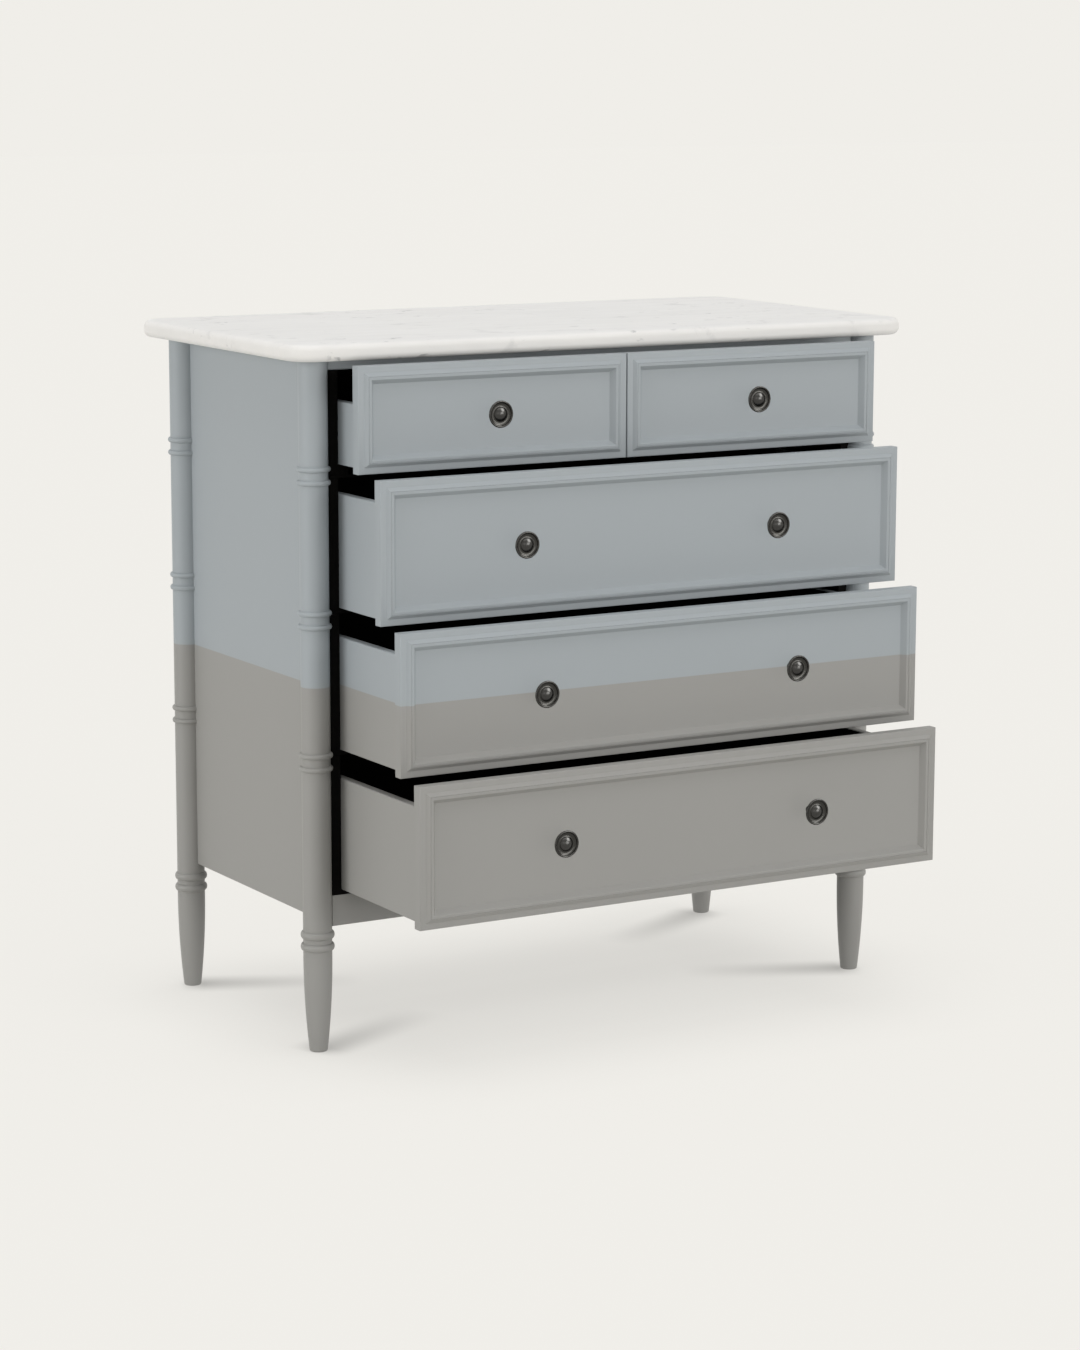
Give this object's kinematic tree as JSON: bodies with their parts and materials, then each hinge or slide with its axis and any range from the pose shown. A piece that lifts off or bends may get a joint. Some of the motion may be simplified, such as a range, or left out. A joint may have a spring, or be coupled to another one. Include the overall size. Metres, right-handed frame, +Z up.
{
  "type": "chest of drawers",
  "caption": "Stone-topped chest of drawers on turned bamboo-style posts, with small drawers over wide ones, each sliding on side runners and drawn by round knobs.",
  "frame": {"origin": "bottom centre of the chest's bounding box as it stands, with the drawers open as pictured", "axes": "+Z up from the floor, -Y out of the front, the way the drawers open, +X to the right as seen from the front"},
  "size_m": [0.906, 0.6608, 0.8914],
  "materials": {
    "paint": "satin paint, blue-grey above and warm grey below",
    "marble": "honed and sealed",
    "knob_metal": "dark bronze patina, semi-gloss",
    "dark_wood": "dark stained, matt"
  },
  "bodies": {
    "carcass": {"marble_top": "marble", "post_front_left": "paint", "post_front_right": "paint", "post_back_left": "paint", "post_back_right": "paint", "side_panel_left": "paint", "side_panel_right": "paint", "back_panel": "paint", "bottom_panel": "dark_wood", "top_rail": "paint", "bottom_rail": "paint", "dust_board": "dark_wood", "runner_lower_left": "dark_wood", "runner_lower_right": "dark_wood", "runner_middle_left": "dark_wood", "runner_middle_right": "dark_wood", "runner_upper_left": "dark_wood", "runner_upper_right": "dark_wood", "runner_small_left": "dark_wood", "runner_small_right": "dark_wood", "runner_small_centre": "dark_wood"},
    "drawer_small_left": {"drawer_small_left_front": "paint", "drawer_small_left_side_left": "paint", "drawer_small_left_side_right": "paint", "drawer_small_left_back": "dark_wood", "drawer_small_left_bottom": "dark_wood", "drawer_small_left_knob": "knob_metal"},
    "drawer_small_right": {"drawer_small_right_front": "paint", "drawer_small_right_side_left": "paint", "drawer_small_right_side_right": "paint", "drawer_small_right_back": "dark_wood", "drawer_small_right_bottom": "dark_wood", "drawer_small_right_knob": "knob_metal"},
    "drawer_upper": {"drawer_upper_front": "paint", "drawer_upper_side_left": "paint", "drawer_upper_side_right": "paint", "drawer_upper_back": "dark_wood", "drawer_upper_bottom": "dark_wood", "drawer_upper_knobs": "knob_metal"},
    "drawer_middle": {"drawer_middle_front": "paint", "drawer_middle_side_left": "paint", "drawer_middle_side_right": "paint", "drawer_middle_back": "dark_wood", "drawer_middle_bottom": "dark_wood", "drawer_middle_knobs": "knob_metal"},
    "drawer_lower": {"drawer_lower_front": "paint", "drawer_lower_side_left": "paint", "drawer_lower_side_right": "paint", "drawer_lower_back": "dark_wood", "drawer_lower_bottom": "dark_wood", "drawer_lower_knobs": "knob_metal"}
  },
  "joints": [
    {"name": "small_left_slide", "type": "slide", "parent": "carcass", "child": "drawer_small_left", "axis": [0, -1, 0], "range_m": [-0.0506, 0.2194]},
    {"name": "small_right_slide", "type": "slide", "parent": "carcass", "child": "drawer_small_right", "axis": [0, -1, 0], "range_m": [-0.0506, 0.2194]},
    {"name": "upper_slide", "type": "slide", "parent": "carcass", "child": "drawer_upper", "axis": [0, -1, 0], "range_m": [-0.1061, 0.1639]},
    {"name": "middle_slide", "type": "slide", "parent": "carcass", "child": "drawer_middle", "axis": [0, -1, 0], "range_m": [-0.1552, 0.1148]},
    {"name": "lower_slide", "type": "slide", "parent": "carcass", "child": "drawer_lower", "axis": [0, -1, 0], "range_m": [-0.2024, 0.0676]}
  ]
}
